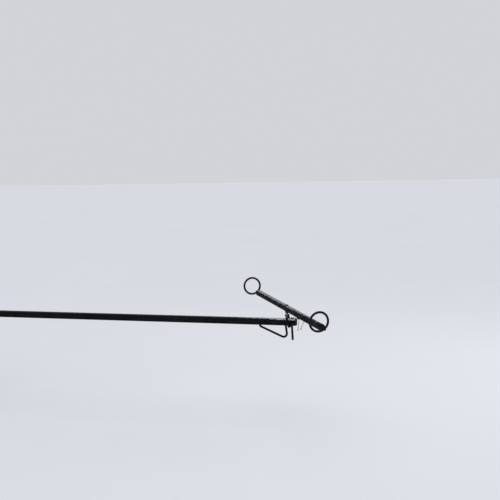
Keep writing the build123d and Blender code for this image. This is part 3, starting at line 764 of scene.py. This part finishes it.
# ------------------------------------------------------------------ neck yoke: welds, rings
YOKE_UP = (Vector((0, 0, 1)) - ALONG * ALONG.z).normalized()
YOKE_SIDE = ALONG.cross(YOKE_UP)
seams = Shape()
for d in (-1, 1):
    out = ALONG * d
    c = YOKE_MID + out * (CAP_SEAM + 0.0003)
    seams.bead([c + (YOKE_UP * math.cos(t * math.pi / 24) + YOKE_SIDE * math.sin(t * math.pi / 24)) * 0.01900
                for t in range(48)], 0.0010, seed=20 + d)
    c = YOKE_MID + out * (CAP_FACE + 0.0005)
    seams.bead([c + (YOKE_UP * math.cos(t * math.pi / 16) + YOKE_SIDE * math.sin(t * math.pi / 16)) * 0.0096
                for t in range(32)], 0.0021, seed=24 + d)
# boss to the bar's underside: where a 12 mm cylinder meets the bar
ring = []
for t in range(40):
    a = 2 * math.pi * t / 40
    p = Vector((YOKE_MID.x + 0.0124 * math.cos(a), 0.0124 * math.sin(a), YOKE_MID.z))
    q = p - YOKE_MID
    flat = q - ALONG * q.dot(ALONG)
    # drop the point down onto the bar's surface
    sv = q.dot(YOKE_SIDE)
    depth = math.sqrt(max(YOKE_R ** 2 - sv * sv, 1e-8))
    ring.append(YOKE_MID + ALONG * q.dot(ALONG) + YOKE_SIDE * sv - YOKE_UP * (depth + 0.0002))
seams.bead(ring, 0.0020, seed=31)
seams.piece("yoke_welds", "neck_yoke", "yoke_paint")

for side, s, lie in (("near", -1, lie_near), ("far", 1, lie_far)):
    eye_at = YOKE_MID + ALONG * (-s * EYE_AT)
    centre = eye_at + lie * RING_R
    ring_shape = Shape()
    rows = []
    n, sides = 168, 22
    for i in range(n):
        a = 2 * math.pi * i / n
        c = lie * math.cos(a) + HINGE * math.sin(a)
        axis = lie.cross(HINGE)
        p = centre + c * RING_R
        row = []
        joint = math.exp(-((a - 2.55) / 0.10) ** 2)
        for k in range(sides):
            b = 2 * math.pi * k / sides
            q = c * math.cos(b) + axis * math.sin(b)
            w = p + q * RING_ROD
            wobble = noise.noise(w * 70.0) * 0.00016 + noise.noise(w * 260.0) * 0.00007
            grow = 1.0 + joint * 0.06 * (0.6 + 0.4 * noise.noise(w * 400.0))
            row.append(p + q * (RING_ROD * grow - 0.00008 + wobble))
        rows.append(row)
    ring_shape.grid(rows, closed_rows=True)
    ring_shape.piece("breast_ring_forged_" + side, "breast_ring_" + side, "ring_iron",
                     replaces=("breast_ring_" + side,))

# ------------------------------------------------------------------ thong wrap and knots
HANDLE_Z, HANDLE_R, HANDLE_TOP = 0.02575, 0.00635, 0.0286


def round_handle(a, out=0.0):
    """Where the lace's middle runs round the handle, which is flat on top."""
    c, d = math.cos(a), math.sin(a)
    y = (0.0073 + out) * math.copysign(abs(c) ** 0.75, c)
    return y, 0.0240 + (0.0057 + out) * math.copysign(abs(d) ** 0.75, d)


wrap = Shape()
turns, x0, x1 = 4, 3.2138, 3.2217
path = []
for i in range(turns * 32 + 1):
    y, zz = round_handle(2 * math.pi * i / 32 - math.pi / 2)
    path.append((x0 + (x1 - x0) * i / (turns * 32), y, zz))
wrap.tube(path, THONG_R, 10)
# the crossing turn that locks the wrap, over its near side
cross = []
for i in range(19):
    t = i / 18
    y, zz = round_handle(math.radians(-90 - 180 * t), 0.0010 * math.sin(math.pi * t))
    cross.append((x0 + 0.0012 + (x1 - x0 - 0.0024) * t, y, zz))
wrap.tube(cross, THONG_R * 0.92, 10)
wrap.piece("thong_turns", "pole", "thong_leather", replaces=("thong_wrap",))

for key, route in THONG_ROUTES.items():
    (ax, az), (bx, bz) = route[-2:]
    d = Vector((bx - ax, 0.0, bz - az)).normalized()
    side_v = Vector((0, 1, 0))
    third = d.cross(side_v)
    c = Vector((bx, 0.0, bz)) + d * 0.0041
    knot = Shape()
    pts = []
    for i in range(60):
        t = 2 * math.pi * i / 60
        x = (math.sin(t) + 2 * math.sin(2 * t)) / 3
        y = (math.cos(t) - 2 * math.cos(2 * t)) / 3
        w = -math.sin(3 * t)
        pts.append(c + side_v * (x * 0.0021) + third * (y * 0.0021) + d * (w * 0.0022))
    knot.tube(pts, 0.0014, 12, closed=True)
    end = [c - d * 0.0039, c - d * 0.001, c + d * 0.0018, c + d * 0.0032 + third * 0.0003, c + d * 0.0039 + third * 0.0006]
    knot.tube(end, [0.0013, 0.0015, 0.0015, 0.0013, 0.0011], 10)
    obj = knot.piece("thong_knot_tied_" + key, "pole", "thong_leather", replaces=("thong_knot_" + key,))
    x, zz = route[0]


# ------------------------------------------------------------------ rime crust on what faces up
def crust_height(p, fall, seed=0.0, cover=0.0):
    """Thickness of the rime at a point, below zero where there is none."""
    q = p + Vector((seed, seed * 0.7, 0))
    h = 0.48 * noise.noise(q * 48.0) + 0.38 * noise.noise(q * 130.0) + 0.32 * noise.noise(q * 270.0) \
        + 0.26 * noise.noise(q * 520.0)
    return cover + h - fall


def crust_rows(stations, outline, thick, under, seed, cover_at, fall_at):
    """Closed shell: at each station the outline's points are lifted where rime lies and sunk where none does."""
    rows, last = [], len(stations) - 1
    for i, x in enumerate(stations):
        pts = outline(x)
        ends = min(1.0, min(x - stations[0], stations[-1] - x) / 0.006)
        outer, inner = [], []
        for k, (p, d) in enumerate(pts):
            h = crust_height(p, fall_at(k, len(pts)), seed, cover_at(x))
            h = min(h, 0.9) * thick * ends if h > 0 else -0.0006
            if k in (0, len(pts) - 1) or i in (0, last):
                h = -0.0006
            outer.append(p + d * h)
            inner.append(p - d * under)
        rows.append(outer + list(reversed(inner)))
    return rows


def stations(length, step):
    n = max(2, int(length / step))
    return [length * i / n for i in range(n + 1)]


def round_crust(name, body, slot, start, axis, up_dir, r, length, spread, cover, seed, step=0.0010, around=44,
                thick=0.0011, lean=0.0, material=None):
    """Rime over the top of a round bar, leaning a little to one side."""
    axis = axis.normalized()
    up_dir = (up_dir - axis * up_dir.dot(axis)).normalized()
    side_dir = axis.cross(up_dir)

    def outline(x):
        out = []
        for k in range(around + 1):
            a = math.radians(spread * (2 * k / around - 1) + lean)
            d = up_dir * math.cos(a) + side_dir * math.sin(a)
            out.append((start + axis * x + d * r, d))
        return out

    shape = Shape()
    shape.grid(crust_rows(stations(length, step), outline, thick, 0.0013, seed,
                          lambda x: cover[0] + (cover[1] - cover[0]) * x / length,
                          lambda k, n: 1.35 * (2 * k / (n - 1) - 1) ** 2))
    return shape.piece(name, body, slot, material=material or rime_mat)


def shoulder_crust(name, x0, x1, half, corner, down, cover0, cover1, seed, step=0.0011, thick=0.0018):
    """Rime over the pole's top and both rounded shoulders, thinning to the rear."""
    path = [(-half, half - corner - down, -1.0, 0.0), (-half, half - corner - down * 0.5, -1.0, 0.0)]
    for i in range(7):
        a = math.radians(180 - 90 * i / 6)
        path.append((-half + corner + corner * math.cos(a), half - corner + corner * math.sin(a),
                     math.cos(a), math.sin(a)))
    flat = half - corner
    path += [(-flat + 2 * flat * i / 20, half, 0.0, 1.0) for i in range(1, 20)]
    for i in range(7):
        a = math.radians(90 - 90 * i / 6)
        path.append((half - corner + corner * math.cos(a), half - corner + corner * math.sin(a),
                     math.cos(a), math.sin(a)))
    path += [(half, half - corner - down * 0.5, 1.0, 0.0), (half, half - corner - down, 1.0, 0.0)]

    def outline(x):
        return [(Vector((x0 + x, y, z)), Vector((0.0, ny, nz))) for y, z, ny, nz in path]

    falls = (1.7, 1.1, 0.62, 0.50, 0.40, 0.30, 0.22, 0.14, 0.08)

    def fall(k, n):
        edge = min(k, n - 1 - k)
        return falls[edge] if edge < len(falls) else 0.0

    length = x1 - x0
    shape = Shape()
    shape.grid(crust_rows(stations(length, step), outline, thick, 0.0013, seed,
                          lambda x: cover0 + (cover1 - cover0) * (x / length) ** 2.6, fall))
    return shape.piece(name, "pole", "pole_paint", material=rime_pole)


span = 0.566
round_crust("yoke_rime_near", "neck_yoke", "yoke_paint", YOKE_MID + ALONG * 0.012, ALONG, Vector((0, 0, 1)), YOKE_R,
            span - 0.012, 56.0, (0.62, -0.08), 1.3)
round_crust("yoke_rime_far", "neck_yoke", "yoke_paint", YOKE_MID - ALONG * 0.012, -ALONG, Vector((0, 0, 1)), YOKE_R,
            span - 0.012, 56.0, (0.62, 0.80), 7.9)
shoulder_crust("pole_rime", 2.62, 3.2025, HALF, 0.0040, 0.0050, -0.30, 1.15, 4.1)


def handle_crust(name, x0, x1, seed):
    """Rime over the flat top of the drop pin's handle and down both of its round sides."""
    path = []
    corner = math.asin((HANDLE_TOP - HANDLE_Z) / HANDLE_R)
    for i in range(9):
        a = math.radians(-38) + (corner - math.radians(-38)) * i / 8
        path.append((HANDLE_R * math.cos(a), HANDLE_Z + HANDLE_R * math.sin(a), math.cos(a), math.sin(a)))
    flat = HANDLE_R * math.cos(corner)
    top = [(flat * (1 - 2 * i / 12), HANDLE_TOP, 0.0, 1.0) for i in range(1, 12)]
    path = path + top + [(-y, z, -ny, nz) for y, z, ny, nz in reversed(path)]

    def outline(x):
        return [(Vector((x0 + x, y, z)), Vector((0.0, ny, nz))) for y, z, ny, nz in path]

    shape = Shape()
    shape.grid(crust_rows(stations(x1 - x0, 0.0010), outline, 0.0010, 0.0013, seed, lambda x: 1.6,
                          lambda k, n: 1.35 * (2 * k / (n - 1) - 1) ** 2))
    # the handle's crust takes the whiter copy of the rime, which is painted light
    return shape.piece(name, "pole", "rod_iron", material=rime_painted_bright)


handle_crust("drop_pin_rime", 3.1790, 3.2120, 2.2)


# ------------------------------------------------------------------ floor and light
def plane(name, size, z, material):
    mesh = bpy.data.meshes.new(name)
    mesh.from_pydata([(-size, -size, z), (size, -size, z), (size, size, z), (-size, size, z)], [], [(0, 1, 2, 3)])
    mesh.materials.append(material)
    obj = bpy.data.objects.new(name, mesh)
    scene.collection.objects.link(obj)
    return obj


floor_mat = Nodes("pale_floor")
floor_tone = floor_mat.noise(0.8, 3.0)
plane("floor", 60.0, FLOOR_Z, floor_mat.done(floor_mat.mix(floor_tone, (0.72, 0.735, 0.765), (0.76, 0.775, 0.80)),
                                             0.85, Specular_IOR_Level=0.1))

world = bpy.data.worlds.new("studio")
scene.world = world
world.use_nodes = True
background = world.node_tree.nodes["Background"]
background.inputs["Color"].default_value = (0.92, 0.94, 0.975, 1.0)
background.inputs["Strength"].default_value = 0.70


def lamp(name, kind, place, aim, energy, colour=(1.0, 1.0, 1.0), size=(1.0, 1.0), angle=0.0):
    data = bpy.data.lights.new(name, kind)
    data.energy = energy
    data.color = colour
    if kind == "AREA":
        data.shape = "RECTANGLE"
        data.size, data.size_y = size
    else:
        data.angle = math.radians(angle)
    obj = bpy.data.objects.new(name, data)
    obj.location = place
    obj.rotation_euler = (Vector(aim) - Vector(place)).to_track_quat("-Z", "Y").to_euler()
    scene.collection.objects.link(obj)
    return obj


lamp("sky", "SUN", (1.5, -2.5, 6.0), (2.3, 0.0, 0.0), 0.95, angle=50.0)
lamp("fill", "AREA", (5.5, 2.0, 2.8), (2.6, 0.0, 0.0), 25.0, (0.95, 0.97, 1.0), size=(2.5, 2.5))
